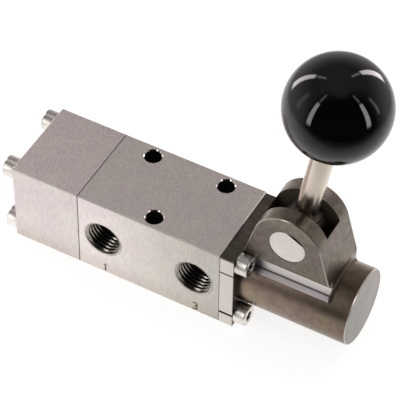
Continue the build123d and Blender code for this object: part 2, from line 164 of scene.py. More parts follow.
def turned(name, outline, origin, axis, across, columns=96, radius_at=None):
    """A solid of revolution: outline rows (radius, height) carried round the axis.

    The point at angle a and height h is origin + h * axis + r * (cos a * across + sin a * side).
    radius_at(r, h, a), where given, changes the radius round the turn.
    """
    side = np.cross(axis, across)
    angle = np.linspace(0, FULL_TURN, columns, endpoint=False)[None, :]
    radius, height = outline[:, :1] + 0 * angle, outline[:, 1:] + 0 * angle
    if radius_at is not None:
        radius = radius_at(radius, height, angle)
    points = (
        np.asarray(origin)
        + height[..., None] * axis
        + (radius * np.cos(angle))[..., None] * across
        + (radius * np.sin(angle))[..., None] * side
    )
    return skin(name, points)


def joined(name, parts):
    """Several meshes made one piece."""
    vertices, faces, count = [], [], 0
    for part in parts:
        mesh = part.data
        flat = np.empty(3 * len(mesh.vertices))
        mesh.vertices.foreach_get("co", flat)
        vertices.append(flat.reshape(-1, 3))
        faces += [[count + v for v in polygon.vertices] for polygon in mesh.polygons]
        count += len(mesh.vertices)
        bpy.data.objects.remove(part)
    return new_piece(name, np.concatenate(vertices).tolist(), faces)


# -------------------------------- shader helpers
def add(tree, kind, **inputs):
    """A node of this kind, with its inputs set by name, or joined where the value is a socket."""
    node = tree.nodes.new(kind)
    for key, value in inputs.items():
        put(tree, node, key.replace("_", " "), value)
    return node


def put(tree, node, key, value):
    """Sets or joins one input, found by name or by number."""
    socket = node.inputs[int(key)] if key.isdigit() else node.inputs[key]
    if isinstance(value, bpy.types.NodeSocket):
        tree.links.new(value, socket)
    else:
        socket.default_value = value


def numbered(tree, kind, *values, operation=None):
    """A node of this kind, with its inputs set or joined in order."""
    node = tree.nodes.new(kind)
    if operation:
        node.operation = operation
    for number, value in enumerate(values):
        put(tree, node, str(number), value)
    return node


def math_node(tree, operation, *values):
    return numbered(tree, "ShaderNodeMath", *values, operation=operation).outputs[0]


def vector_node(tree, operation, *values):
    return numbered(tree, "ShaderNodeVectorMath", *values, operation=operation).outputs[0]


def vector_size(tree, operation, *values):
    """A number from vectors, such as a dot product or a length."""
    return numbered(tree, "ShaderNodeVectorMath", *values, operation=operation).outputs["Value"]


def mix_colour(tree, factor, first, second):
    """The colour between two, by a factor from 0 to 1."""
    node = tree.nodes.new("ShaderNodeMix")
    node.data_type = "RGBA"
    put(tree, node, "0", factor)
    for key, colour in (("6", first), ("7", second)):
        opaque = colour if isinstance(colour, bpy.types.NodeSocket) else (*colour, 1.0)
        put(tree, node, key, opaque)
    return node.outputs[2]


def map_range(tree, value, low, high, to_low=0.0, to_high=1.0):
    """A smooth step from to_low to to_high, as the value goes from low to high."""
    node = tree.nodes.new("ShaderNodeMapRange")
    node.interpolation_type = "SMOOTHSTEP"
    for key, item in (("Value", value), ("From Min", low), ("From Max", high),
                      ("To Min", to_low), ("To Max", to_high)):
        put(tree, node, key, item)
    return node.outputs[0]


def from_noise(tree, noise, to_low, to_high):
    """A noise, most of which lies between 0.3 and 0.7, brought to another range."""
    return map_range(tree, noise, 0.3, 0.7, to_low, to_high)


def chained(tree, operation, values):
    """An operation of two numbers, carried on over more of them."""
    total = values[0]
    for value in values[1:]:
        total = math_node(tree, operation, total, value)
    return total


def product(tree, *values):
    return chained(tree, "MULTIPLY", values)


def largest(tree, *values):
    return chained(tree, "MAXIMUM", values)


def shaded_point(tree):
    """The shaded point, in metres."""
    return add(tree, "ShaderNodeTexCoord").outputs["Object"]


def xyz(tree, vector):
    """The three parts of a vector."""
    return tuple(add(tree, "ShaderNodeSeparateXYZ", Vector=vector).outputs)


def reach_from(tree, place, centre, axes):
    """The distance from centre, along those axes whose factor is 1."""
    offset = vector_node(tree, "MULTIPLY", vector_node(tree, "SUBTRACT", place, centre), axes)
    return math_node(tree, "POWER", vector_size(tree, "DOT_PRODUCT", offset, offset), 0.5)


def tinted(tree, colour, factor):
    """A colour times another colour or a number."""
    return vector_node(tree, "MULTIPLY", colour, factor)


def raised(tree, value, mask, amount):
    """A number, with an amount added where the mask is 1."""
    return math_node(tree, "ADD", value, math_node(tree, "MULTIPLY", mask, amount))


def layered(tree, base, layers):
    """Colours laid over base in turn, each by its mask and its strength."""
    for mask, strength, colour in layers:
        base = mix_colour(tree, math_node(tree, "MULTIPLY", mask, strength), base, colour)
    return base


def new_group(name, inputs, outputs):
    """An empty shader node group with these sockets, given as (name, kind, default)."""
    group = bpy.data.node_groups.new(name, "ShaderNodeTree")
    for label, kind, default in inputs:
        socket = group.interface.new_socket(name=label, in_out="INPUT", socket_type=kind)
        socket.default_value = default
    for label, kind in outputs:
        group.interface.new_socket(name=label, in_out="OUTPUT", socket_type=kind)
    return group, group.nodes.new("NodeGroupInput"), group.nodes.new("NodeGroupOutput")


FLOAT, VECTOR = "NodeSocketFloat", "NodeSocketVector"


def make_grain_group():
    """Fine tool marks: noise stretched along one direction, over a slow cloudiness.

    Counts are noise cells per metre along each axis.
    """
    group, given, result = new_group(
        "tool_marks",
        [("Counts", VECTOR, (80, 2500, 2500)), ("Cloud", FLOAT, 90.0)],
        [("Marks", FLOAT), ("Clouds", FLOAT)],
    )
    place = shaded_point(group)
    stretched = vector_node(group, "MULTIPLY", place, given.outputs["Counts"])
    fine = add(group, "ShaderNodeTexNoise", Vector=stretched, Scale=1.0, Detail=2.0, Roughness=0.6)
    cloud = add(group, "ShaderNodeTexNoise", Vector=place, Scale=given.outputs["Cloud"], Detail=3.0)
    group.links.new(fine.outputs[0], result.inputs["Marks"])
    group.links.new(cloud.outputs[0], result.inputs["Clouds"])
    return group


def make_speck_group():
    """Small specks: one in five of the cells of a Voronoi pattern, near the cell's centre."""
    group, given, result = new_group(
        "specks", [("Count", FLOAT, 480.0), ("Size", FLOAT, 0.16)], [("Specks", FLOAT)]
    )
    place = shaded_point(group)
    cells = add(group, "ShaderNodeTexVoronoi", Vector=place, Scale=given.outputs["Count"])
    near = map_range(group, cells.outputs["Distance"], 0.0, given.outputs["Size"], 1.0, 0.0)
    chance = add(group, "ShaderNodeSeparateColor", Color=cells.outputs["Color"]).outputs[0]
    few = math_node(group, "GREATER_THAN", chance, 0.8)
    group.links.new(math_node(group, "MULTIPLY", near, few), result.inputs["Specks"])
    return group


def make_zone_group():
    """1 inside a box of |x|, |y|, |z|, and 0 outside it, with soft sides."""
    group, given, result = new_group(
        "zone",
        [("Low", VECTOR, (0, 0, 0)), ("High", VECTOR, (1, 1, 1)), ("Softness", FLOAT, 0.05 * MM)],
        [("Inside", FLOAT)],
    )
    place = vector_node(group, "ABSOLUTE", shaded_point(group))
    above = vector_node(group, "SUBTRACT", place, given.outputs["Low"])
    below = vector_node(group, "SUBTRACT", given.outputs["High"], place)
    nearest = vector_node(group, "MINIMUM", above, below)
    least = chained(group, "MINIMUM", xyz(group, nearest))
    inside = numbered(group, "ShaderNodeMath", least, given.outputs["Softness"], operation="DIVIDE")
    inside.use_clamp = True
    group.links.new(inside.outputs[0], result.inputs["Inside"])
    return group


GRAIN = make_grain_group()
SPECKS = make_speck_group()
ZONE = make_zone_group()


def use_group(tree, group, **inputs):
    """The outputs of a node that runs a group, with its inputs set by name."""
    node = tree.nodes.new("ShaderNodeGroup")
    node.node_tree = group
    for key, value in inputs.items():
        put(tree, node, key, value)
    return node.outputs


def zone(tree, low, high, softness=0.05 * MM):
    """1 where |x|, |y| and |z| all lie between low and high."""
    return use_group(tree, ZONE, Low=low, High=high, Softness=softness)[0]


def new_material(name):
    """A material, its node tree and its Principled shader."""
    material = bpy.data.materials.new(name)
    material.use_nodes = True
    return material, material.node_tree, material.node_tree.nodes["Principled BSDF"]


def finish_shader(tree, shader, base, rough, relief=None, strength=0.0, distance=0.05 * MM,
                  metallic=1.0):
    """Joins colour, roughness and, where there is a relief, bump to a shader."""
    put(tree, shader, "Base Color", base)
    put(tree, shader, "Roughness", rough)
    put(tree, shader, "Metallic", metallic)
    if relief is not None:
        bump = add(tree, "ShaderNodeBump", Strength=strength, Distance=distance, Height=relief)
        put(tree, shader, "Normal", bump.outputs["Normal"])


def marked(tree, grain, colour, tint, cloudy):
    """A colour with lighter and darker tool marks and clouds."""
    shade = from_noise(tree, grain["Marks"], 1 - tint, 1 + tint)
    slow = from_noise(tree, grain["Clouds"], 1 - cloudy, 1 + cloudy)
    return tinted(tree, colour, product(tree, shade, slow))


def metal(name, colour, roughness, marks=(80, 2500, 2500), tint=0.12, cloudy=0.10, bump=0.08,
          rough_spread=0.12):
    """A metal with tool marks: they vary its colour, its roughness and its surface."""
    material, tree, shader = new_material(name)
    grain = use_group(tree, GRAIN, Counts=marks, Cloud=90.0)
    half = rough_spread / 2
    rough = from_noise(tree, grain["Clouds"], roughness - half, roughness + half)
    base = marked(tree, grain, colour, tint, cloudy)
    finish_shader(tree, shader, base, rough, grain["Marks"], bump)
    return material


# -------------------------------- materials
# A near-black, used as painted shade in grooves and in the roots of threads.
PAINTED_SHADE_DARK = (0.05, 0.043, 0.036)         # linear red, green and blue, as all colours here


def blotched(tree, grain, colours, tint, cloudy):
    """A marked colour that drifts between two colours."""
    drift = map_range(tree, grain["Clouds"], 0.38, 0.62)
    return marked(tree, grain, mix_colour(tree, drift, *colours), tint, cloudy)


def body_material():
    """Ground steel whose tone drifts along the block, with dark joint lines, painted shade inside
    the mounting holes and port passages, chamfers round the holes painted lighter to help their
    glints, and a painted highlight on the edge at the end of the top."""
    material, tree, shader = new_material("ground_block_steel")
    grain = use_group(tree, GRAIN, Counts=(1200, 1200, 420), Cloud=150.0)
    base = blotched(tree, grain, ((0.86, 0.775, 0.77), (0.84, 0.775, 0.74)), 0.08, 0.03)
    place = shaded_point(tree)
    x, y, z = xyz(tree, place)
    mirrored = vector_node(tree, "ABSOLUTE", place)

    # The block gets darker and warmer towards the flange and towards its foot.
    foot = mix_colour(tree, map_range(tree, z, 0.0, 9 * MM), (0.87, 0.86, 0.82), (1.0, 1.0, 1.0))
    drift = mix_colour(tree, map_range(tree, x, body_left, body_right), (1.07, 1.07, 1.07),
                       (0.79, 0.82, 0.775))
    on_top = map_range(tree, z, body_top - 0.3 * MM, body_top - 0.1 * MM)
    drift = mix_colour(tree, on_top, drift, (0.89, 0.905, 0.885))
    in_block = math_node(tree, "GREATER_THAN", x, body_left)
    drift = mix_colour(tree, in_block, (0.96, 0.955, 0.955), drift)
    base = tinted(tree, tinted(tree, base, foot), drift)

    # The line at the cap's joint is darker than the one at the flange.
    joint_width, joint_x = 0.38 * MM, -body_left
    joint = zone(tree, (joint_x - joint_width / 2, -1, -1), (joint_x + joint_width / 2, 1, 1))
    at_cap = math_node(tree, "LESS_THAN", x, 0.0)
    depth = raised(tree, 0.4, at_cap, 0.45)
    # Painted shade: the port passages and the bores of the mounting holes are painted near black.
    passages = zone(tree, (-1, -1, 5 * MM),
                    (joint_x - 0.3 * MM, rear - 0.6 * MM, 25.5 * MM), 0.3 * MM)
    rear_bores, rear_rims = hole_masks(tree, mirrored, hole_x, hole_y)
    front_bore, front_rim = hole_masks(tree, place, 0.0, -hole_y)
    # The chamfers at the holes' mouths are smoother, and painted lighter as a painted highlight for
    # their glints.
    rims = largest(tree, rear_rims, front_rim)
    dark = largest(tree, rear_bores, front_bore, passages)
    # Painted highlight: a pale, rougher streak along the top's edge at the flange end.
    edge = product(tree, map_range(tree, x, body_right - 0.50 * MM, body_right - 0.35 * MM),
                   map_range(tree, y, -1.0 * MM, 1.5 * MM), on_top)
    base = layered(tree, base, [
        (joint, depth, (0.05, 0.045, 0.04)),
        (dark, 1.0, (0.07, 0.062, 0.048)),
        (rims, 1.0, (0.9, 0.87, 0.84)),
        (edge, 1.0, (1.0, 0.98, 0.92)),
    ])
    rough = from_noise(tree, grain["Marks"], 0.50, 0.60)
    rough = raised(tree, raised(tree, rough, rims, -0.38), edge, 0.2)
    finish_shader(tree, shader, base, rough, grain["Marks"], 0.06)
    return material


def hole_masks(tree, place, x, y):
    """Two masks of the mounting hole at (x, y): its bore, and the chamfer at its mouth."""
    reach = reach_from(tree, place, (x, y, 0), (1.0, 1.0, 0.0))
    height = xyz(tree, place)[2]
    in_bore = math_node(tree, "LESS_THAN", reach, hole_radius + 0.05 * MM)
    under_chamfer = math_node(tree, "LESS_THAN", height, body_top - 0.25 * MM)
    in_mouth = math_node(tree, "LESS_THAN", reach, hole_mouth_radius + 0.05 * MM)
    above = math_node(tree, "GREATER_THAN", height, body_top - hole_mouth_depth + 0.02 * MM)
    below = math_node(tree, "LESS_THAN", height, body_top - 0.01 * MM)
    return product(tree, in_bore, under_chamfer), product(tree, in_mouth, above, below)


def lug_edge_mask(tree, place, side):
    """1 near the outline of the lugs: a circle about the pivot, whose sides run on as tangents."""
    right, _, up = xyz(tree, vector_node(tree, "SUBTRACT", place, tuple(pivot)))
    out = math_node(tree, "ABSOLUTE", right)
    down_side = math_node(tree, "SUBTRACT", product(tree, out, math.sin(lug_lean)),
                          product(tree, up, math.cos(lug_lean)))
    off_side = math_node(tree, "ADD", product(tree, out, math.cos(lug_lean)),
                         product(tree, up, math.sin(lug_lean)))
    reach = reach_from(tree, place, tuple(pivot), (1.0, 0.0, 1.0))
    straight = math_node(tree, "GREATER_THAN", down_side, 0.0)
    distance = math_node(tree, "ADD", product(tree, off_side, straight),
                         product(tree, reach, math_node(tree, "SUBTRACT", 1.0, straight)))
    near = map_range(tree, distance, lug_radius - 0.38 * MM, lug_radius - 0.22 * MM)
    inside = math_node(tree, "LESS_THAN", distance, lug_radius + 0.05 * MM)
    face = math_node(tree, "GREATER_THAN", math_node(tree, "ABSOLUTE", side), lug_side - 0.29 * MM)
    above_foot = math_node(tree, "GREATER_THAN", up, lug_edge_foot)
    return product(tree, near, inside, face, above_foot)


def housing_material():
    """Dark, dull steel with brown and olive clouds. The flange's sides and the runs beside the
    clevis's foot are ground bright, the runs with painted light and shade; the rim of the end face
    and the edges of the lugs are ground and painted lighter as highlights; the grooves, the fillet,
    the slot and the corner beside the flange are painted dark as shade."""
    material, tree, shader = new_material("dull_housing_steel")
    grain = use_group(tree, GRAIN, Counts=(420, 420, 420), Cloud=90.0)
    place = shaded_point(tree)
    x, y, z = xyz(tree, place)

    # The clevis gets lighter and the barrel darker towards the closed end.
    clevis = blotched(tree, grain, ((0.175, 0.154, 0.122), (0.175, 0.141, 0.125)), 0.16, 0.08)
    lighter = map_range(tree, x, pivot_x - 8 * MM, pivot_x + 12 * MM, 1.0, 1.14)
    clevis = tinted(tree, clevis, lighter)
    barrel = blotched(tree, grain, ((0.31, 0.243, 0.178), (0.245, 0.178, 0.150)), 0.12, 0.12)
    darker = map_range(tree, x, pivot_x - 4 * MM, housing_end, 1.03, 0.84)
    barrel = tinted(tree, barrel, darker)
    upper = map_range(tree, z, clevis_foot - 0.2 * MM, clevis_foot + 0.2 * MM)
    crown = map_range(tree, z, pivot_height + 4 * MM, pivot_height + 10 * MM, 1.0, 1.35)

    # Painted shade darkens the corner beside the flange, and the runs behind the screws.
    flange_corner_shade = map_range(tree, x, flange_face + 0.4 * MM, flange_face + 2.6 * MM, 0.35, 1.0)
    on_flange = math_node(tree, "LESS_THAN", x, flange_face - 0.02 * MM)
    level = product(tree, crown, largest(tree, flange_corner_shade, on_flange))
    base = tinted(tree, mix_colour(tree, upper, barrel, clevis), level)
    # The runs are ground bright; their walls are painted lighter than their floors, as painted
    # light on the walls and painted shade on the floors.
    run_colour = mix_colour(tree, map_range(tree, z, run_floor + 0.1 * MM, run_floor + 0.3 * MM),
                            (0.72, 0.665, 0.69), (1.0, 0.95, 0.93))
    # Painted shade behind the screw heads, darkest at the flange.
    shade_behind_screws = map_range(tree, x, flange_face + 4.5 * MM, flange_face + 7.2 * MM, 0.12, 1.0)
    run_colour = tinted(tree, run_colour, shade_behind_screws)

    specks = use_group(tree, SPECKS, Count=480.0, Size=0.16)[0]
    flange_side = zone(tree, (-1, flange_rear - 0.06 * MM, -1), (1, 1, 1))
    on_front = math_node(tree, "LESS_THAN", y, 0.0)
    # Painted shade in the two grooves across the flange's front.
    grooves = [
        product(tree, on_front, zone(
            tree, (-1, flange_rear - 0.4 * MM, middle - width / 2),
            (flange_face, 1, middle + width / 2), 0.2 * MM,
        ))
        for middle, width in zip(groove_heights, groove_widths)
    ]
    inner, outer = run_side - 0.15 * MM, lug_side + 0.4 * MM
    run = zone(tree, (flange_face + 0.05 * MM, inner, run_floor - 0.1 * MM),
               (run_end, outer, run_ceiling - 0.02 * MM))
    # Painted shade: a dark line in the corner between each run's wall and its floor.
    run_corner_shade = zone(tree, (-1, inner, run_floor - 0.2 * MM),
                      (run_end, inner + 0.82 * MM, run_floor + 0.12 * MM), 0.08 * MM)
    # The top of each run's far end takes the clevis's dark colour: painted shade in that corner.
    run_end_shade = zone(tree, (clevis_end - 1.52 * MM, inner, run_floor + 3.55 * MM),
                      (clevis_end + 0.18 * MM, outer, run_ceiling + 0.16 * MM))
    end_face = zone(tree, (housing_end - 0.32 * MM, -1, -1), (1, 1, 1))
    from_axis = reach_from(tree, place, (0.0, 0.0, axis_height), (0.0, 1.0, 1.0))
    # The chamfer round the end face is painted lighter: a painted highlight.
    end_rim_highlight = product(tree, end_face, map_range(tree, from_axis, barrel_radius - 0.34 * MM,
                                                barrel_radius - 0.22 * MM))
    # Painted shade: a dark, soft band along the fillet at the clevis's foot.
    fillet = zone(tree, (clevis_end, -1, run_floor - 0.7 * MM),
                  (clevis_end + 1.28 * MM, outer, run_ceiling + 1.26 * MM), 0.3 * MM)
    # Painted shade inside the slot through the clevis.
    slot = zone(tree, (slot_left, -1, slot_floor), (slot_right, slot_side, slot_top))
    base = layered(tree, base, [
        (specks, 0.35, (0.45, 0.42, 0.38)),
        (flange_side, 1.0, (0.80, 0.74, 0.69)),
        *((groove, 1.0, PAINTED_SHADE_DARK) for groove in grooves),
        (run, 1.0, run_colour),
        (run_corner_shade, 0.85, (0.08, 0.07, 0.065)),
        (end_face, 1.0, (0.275, 0.248, 0.225)),
        (end_rim_highlight, 1.0, (0.66, 0.60, 0.55)),
        (run_end_shade, 1.0, clevis),
        (fillet, 0.8, (0.07, 0.06, 0.052)),
        # The lugs' ground edges, painted lighter as a painted highlight.
        (lug_edge_mask(tree, place, y), 0.85, (0.60, 0.56, 0.50)),
        (slot, 1.0, (0.075, 0.062, 0.045)),
    ])
    rough = from_noise(tree, grain["Clouds"], 0.29, 0.35)
    rough = raised(tree, rough, largest(tree, flange_side, run), 0.22)
    rough = raised(tree, rough, fillet, 0.25)
    matt = largest(tree, product(tree, slot, 0.8), product(tree, run, 0.85))
    metallic = math_node(tree, "SUBTRACT", 1.0, matt)
    finish_shader(tree, shader, base, rough, grain["Marks"], 0.05, metallic=metallic)
    return material


def thread_material():
    """Cut thread: bright crests over roots painted dark as shade, and a pale ring at the mouth."""
    material, tree, shader = new_material("cut_thread_steel")
    grain = use_group(tree, GRAIN, Counts=(900, 900, 900), Cloud=200.0)
    crest = add(tree, "ShaderNodeAttribute")
    crest.attribute_name = "crest"
    bright = map_range(tree, crest.outputs["Fac"], 0.15, 0.75)
    from_middle = math_node(tree, "ABSOLUTE", xyz(tree, shaded_point(tree))[1])
    mouth = map_range(tree, from_middle, rear - 0.9 * MM, rear - 0.3 * MM)
    # Painted shade in the roots; the crests keep the steel's colour.
    base = mix_colour(tree, bright, PAINTED_SHADE_DARK, (0.33, 0.30, 0.265))
    base = mix_colour(tree, mouth, base, (0.62, 0.57, 0.54))
    base = tinted(tree, base, from_noise(tree, grain["Marks"], 0.85, 1.15))
    rough = from_noise(tree, grain["Clouds"], 0.16, 0.26)
    rough = raised(tree, rough, mouth, 0.25)
    finish_shader(tree, shader, base, rough)
    return material


def screw_material():
    """Bright steel, with painted shade down in the four hexagon sockets at either end."""
    material = metal("bright_screw_steel", (0.80, 0.76, 0.72), 0.29, marks=(300, 300, 300),
                     tint=0.05, bump=0.0, rough_spread=0.04)
    tree = material.node_tree
    shader = tree.nodes["Principled BSDF"]
    steel = shader.inputs["Base Color"].links[0].from_socket
    corner = vector_node(tree, "SUBTRACT", shaded_point(tree), (0.0, 0.0, axis_height))
    corner = vector_node(tree, "ABSOLUTE", corner)
    reach = reach_from(tree, corner, (0.0, screw_corner, screw_corner), (0.0, 1.0, 1.0))
    # Painted shade inside the hexagon sockets.
    socket = map_range(tree, reach, 1.6 * MM, 1.75 * MM, 1.0, 0.0)
    put(tree, shader, "Base Color", mix_colour(tree, socket, steel, (0.07, 0.06, 0.05)))
    return material


def knob_material():
    """Polished black phenolic: very dark, smooth, with a faint waviness."""
    material, tree, shader = new_material("polished_black_plastic")
    clouds = use_group(tree, GRAIN, Counts=(300, 300, 300), Cloud=60.0)["Clouds"]
    base = mix_colour(tree, clouds, (0.0012, 0.0012, 0.001), (0.002, 0.002, 0.0016))
    rough = from_noise(tree, clouds, 0.02, 0.05)
    finish_shader(tree, shader, base, rough, clouds, 0.02, 0.1 * MM, metallic=0.0)
    return material


def rubber_material():
    """Black rubber, a little uneven in its gloss."""
    material, tree, shader = new_material("seal_rubber")
    grain = use_group(tree, GRAIN, Counts=(1500, 1500, 1500), Cloud=200.0)
    base = mix_colour(tree, grain["Clouds"], (0.015, 0.015, 0.016), (0.03, 0.03, 0.03))
    finish_shader(tree, shader, base, from_noise(tree, grain["Marks"], 0.5, 0.7), metallic=0.0)
    return material


finish_of_slot = {
    "body_steel": body_material(),
    "housing_steel": housing_material(),
    "screw_steel": screw_material(),
    "rod_steel": metal("polished_rod_steel", (0.70, 0.615, 0.52), 0.20, marks=(400, 400, 2500),
                       tint=0.03, cloudy=0.04, bump=0.02, rough_spread=0.04),
    "pin_steel": metal("bright_pin_steel", (0.79, 0.74, 0.70), 0.34, marks=(300, 2000, 1200),
                       tint=0.04, cloudy=0.03, bump=0.02, rough_spread=0.06),
    "hub_steel": metal("dark_hub_steel", (0.15, 0.13, 0.115), 0.36, marks=(900, 900, 900),
                       tint=0.15),
    "spool_steel": metal("ground_spool_steel", (0.68, 0.66, 0.64), 0.2, marks=(2500, 300, 300)),
    "spring_steel": metal("drawn_spring_steel", (0.42, 0.40, 0.38), 0.3, marks=(900, 900, 900)),
    "spacer_aluminium": metal("turned_aluminium", (0.60, 0.60, 0.60), 0.35, marks=(2500, 200, 200)),
    "bush_bronze": metal("sintered_bronze", (0.45, 0.28, 0.14), 0.45, marks=(1500, 1500, 1500),
                         tint=0.2),
    "insert_brass": metal("turned_brass", (0.72, 0.50, 0.20), 0.25, marks=(1500, 1500, 1500)),
    "knob_black": knob_material(),
    "seal_rubber": rubber_material(),
}
thread_steel = thread_material()
stamped_steel = metal("stamped_figures", (0.10, 0.08, 0.07), 0.45, marks=(1500, 1500, 1500),
                      tint=0.2)


def dress_cad_nodes():
    """Every CAD node takes the finish of its material slot."""
    for part in frame["record"]["subparts"]:
        node = frame["nodes"][part["node"]]
        finish = finish_of_slot[part["material_slot"]]
        if node.data.materials:
            for number in range(len(node.data.materials)):
                node.data.materials[number] = finish
        else:
            node.data.materials.append(finish)


def finish_piece(piece, body, slot, *stands_for, material=None, sharp=35):
    """Gives a modelled piece its material and its body, and hides what it replaces.

    The material is the slot's own unless one is given. Edges that turn by more than sharp
    degrees stay sharp. A piece with no body is attached to none.
    """
    piece.data.set_sharp_from_angle(angle=math.radians(sharp))
    piece.data.materials.append(material or finish_of_slot[slot])
    if body:
        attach(piece, body)
    if stands_for:
        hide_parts(*stands_for)


dress_cad_nodes()

# -------------------------------- ball knob and rod
knob_radius = min(knob_high[1] - knob_low[1], knob_high[0] - knob_low[0]) / 2
knob_centre_reach = 55 * MM      # from the pivot, along the rod
knob_flat = 13 * MM             # from the knob's centre to the flat at its foot
knob_pocket = 6.02 * MM
knob_pocket_depth = 14 * MM
knob_rim = 0.5 * MM
pocket_edge, rim_edge = 0.1 * MM, 0.28 * MM


def make_knob():
    """A sphere cut off flat where the rod enters: r = R * sin(t), h = c - R * cos(t)."""
    first = math.acos(knob_flat / knob_radius)
    bottom = knob_centre_reach - knob_flat
    turn = np.linspace(first + knob_rim / knob_radius, math.pi, 90)
    height = knob_centre_reach - knob_radius * np.cos(turn)
    ball = np.stack([knob_radius * np.sin(turn), height], axis=1)
    ball[-1, 0] = 0.0
    rim_radius = knob_radius * math.sin(first)
    mouth = arcs(
        [(0, bottom + knob_pocket_depth), (knob_pocket, bottom + knob_pocket_depth),
         (knob_pocket, bottom), (rim_radius, bottom), tuple(ball[0])],
        [0, pocket_edge, rim_edge],
    )
    piece = turned("ball_knob_form", np.concatenate([mouth[:-1], ball]), pivot, rod_direction,
                   rod_across, 144)
    finish_piece(piece, "lever", "knob_black", "ball_knob")


rod_radius = (rod_high[1] - rod_low[1]) / 2
rod_foot = 7.2 * MM
rod_head = 54 * MM
spigot_radius, spigot_length = 2.5 * MM, 3 * MM
spigot_edge, foot_edge, head_edge = 0.2 * MM, 0.1 * MM, 0.3 * MM


def make_rod():
    """A straight bar with its spigot in the hub, and a broken edge at each shoulder."""
    spigot_end = rod_foot - spigot_length
    outline = arcs(
        [(0, spigot_end), (spigot_radius, spigot_end), (spigot_radius, rod_foot),
         (rod_radius, rod_foot), (rod_radius, rod_head), (0, rod_head)],
        [spigot_edge, 0, foot_edge, head_edge],
    )
    piece = turned("lever_rod_form", outline, pivot, rod_direction, rod_across)
    finish_piece(piece, "lever", "rod_steel", "lever_rod")


# -------------------------------- pin
def make_pin():
    """A shouldered pin whose head has a flat, where r is at most (R - d) / cos(a + a0)."""
    radius, shank, bevel = (pin_high[0] - pin_low[0]) / 2, 3 * MM, 0.25 * MM
    length = pin_high[1] - pin_low[1]
    flat_depth, flat_angle, head_length = 1.1 * MM, math.radians(60.6), 5.15 * MM
    outline = arcs([(0, 0), (radius, 0), (radius, head_length), (shank, head_length),
                    (shank, length), (0, length)], [bevel, 0, 0, bevel])

    def d_shape(r, _, a):
        toward = np.cos(a + flat_angle)
        limit = (radius - flat_depth) / np.maximum(toward, 1e-3)
        return np.where(toward > 0, np.minimum(r, limit), r)

    piece = turned("pivot_pin_form", outline, (pivot[0], pin_low[1], pivot[2]),
                   np.array([0.0, 1.0, 0.0]), np.array([1.0, 0.0, 0.0]), 160, d_shape)
    finish_piece(piece, "valve", "pin_steel", "pivot_pin")


# -------------------------------- socket cap screws
head_radius, head_height, shank_radius = 3.5 * MM, 4.0 * MM, 2.0 * MM
socket_flats, socket_depth = 3.0 * MM, 2.2 * MM
knurl_count, knurl_depth = 48, 0.012 * MM
knurl_ends = np.array([0.35, 0.45, 3.35, 3.45]) * MM
seat_edge, crown_edge, mouth_edge = 0.1 * MM, 0.45 * MM, 0.05 * MM


def cap_screw(name, seat, facing, length, turn):
    """One screw. The socket's radius is the hexagon's, flats / 2 / cos(a) within each sixth."""
    tip, bevel, cone = 0.5 * MM, 0.25 * MM, 0.5 * MM
    mouth, step = 0.45 * MM, 0.1 * MM
    socket, socket_foot = socket_flats / 2, head_height - socket_depth
    outline = arcs(
        [(0, -length), (shank_radius - tip, -length), (shank_radius, tip - length),
         (shank_radius, 0), (head_radius, 0), (head_radius, head_height),
         (socket + mouth, head_height), (socket + step, head_height - bevel),
         (socket, socket_foot), (0, socket_foot - cone)],
        [0, 0, seat_edge, seat_edge, crown_edge, mouth_edge, 0, 0],
    )

    def shape(r, h, a):
        sixth = (a + turn) % (FULL_TURN / 6) - FULL_TURN / 12
        in_socket = (h > socket_foot - 0.1 * MM) & (r < socket + 0.2 * MM)
        on_side = (r > head_radius - 0.01 * MM) & (h > 0.4 * MM) & (h < head_height - 0.6 * MM)
        knurl = knurl_depth * (0.5 + 0.5 * np.cos(knurl_count * a))
        return np.where(in_socket, r / np.cos(sixth), np.where(on_side, r - knurl, r))

    first = np.nonzero(outline[:, 0] > head_radius - 0.001 * MM)[0][0]
    knurled = np.stack([np.full(4, head_radius), knurl_ends], axis=1)
    rows = np.concatenate([outline[:first + 1], knurled, outline[first + 1:]])
    return turned(name, rows, seat, np.array([facing, 0.0, 0.0]), np.array([0.0, 1.0, 0.0]), 144,
                  shape)


def make_screws(name, seat_x, facing, length, slot_node):
    """Four screws at the corners of the square section, their sockets turned at random."""
    turns = np.random.default_rng(7 if facing > 0 else 11).uniform(0, FULL_TURN, 4)
    places = [(sy, sz) for sy in (-1, 1) for sz in (-1, 1)]
    screws = []
    for number, ((sy, sz), turn) in enumerate(zip(places, turns)):
        seat = (seat_x, sy * screw_corner, axis_height + sz * screw_corner)
        screws.append(cap_screw(f"{name}_{number}", seat, facing, length, turn))
    finish_piece(joined(name, screws), "valve", "screw_steel", slot_node)


# -------------------------------- return spring
def make_spring():
    """Round wire on a helix, its centre at turn t being (x0 + p * t, R cos(2 pi t), R sin(2 pi t)).

    It is attached to no body.
    """
    low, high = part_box("return_spring")
    wire, turns, per_turn, sides = 0.55 * MM, 6, 48, 14
    coil = float(high[1] - low[1]) / 2 - wire
    first, last = float(low[0]) + wire, float(high[0]) - wire
    share = np.linspace(0, 1, turns * per_turn + 1)[:, None]
    angle = FULL_TURN * turns * share
    level = 0 * angle
    outward = np.concatenate([level, np.cos(angle), np.sin(angle)], axis=1)
    axis = np.concatenate([first + (last - first) * share, level, level + axis_height], axis=1)
    centre = axis + coil * outward
    ahead = np.gradient(centre, axis=0)
    beside = np.cross(ahead / np.linalg.norm(ahead, axis=1)[:, None], outward)
    around = np.linspace(0, FULL_TURN, sides, endpoint=False)[None, :, None]
    section = np.cos(around) * outward[:, None] + np.sin(around) * beside[:, None]
    caps = [np.repeat(centre[row][None, None], sides, axis=1) for row in (0, -1)]
    tube = centre[:, None] + wire * section
    piece = skin("return_spring_form", np.concatenate([caps[0], tube, caps[1]]))
    finish_piece(piece, None, "spring_steel", "return_spring", sharp=50)
    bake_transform(piece)


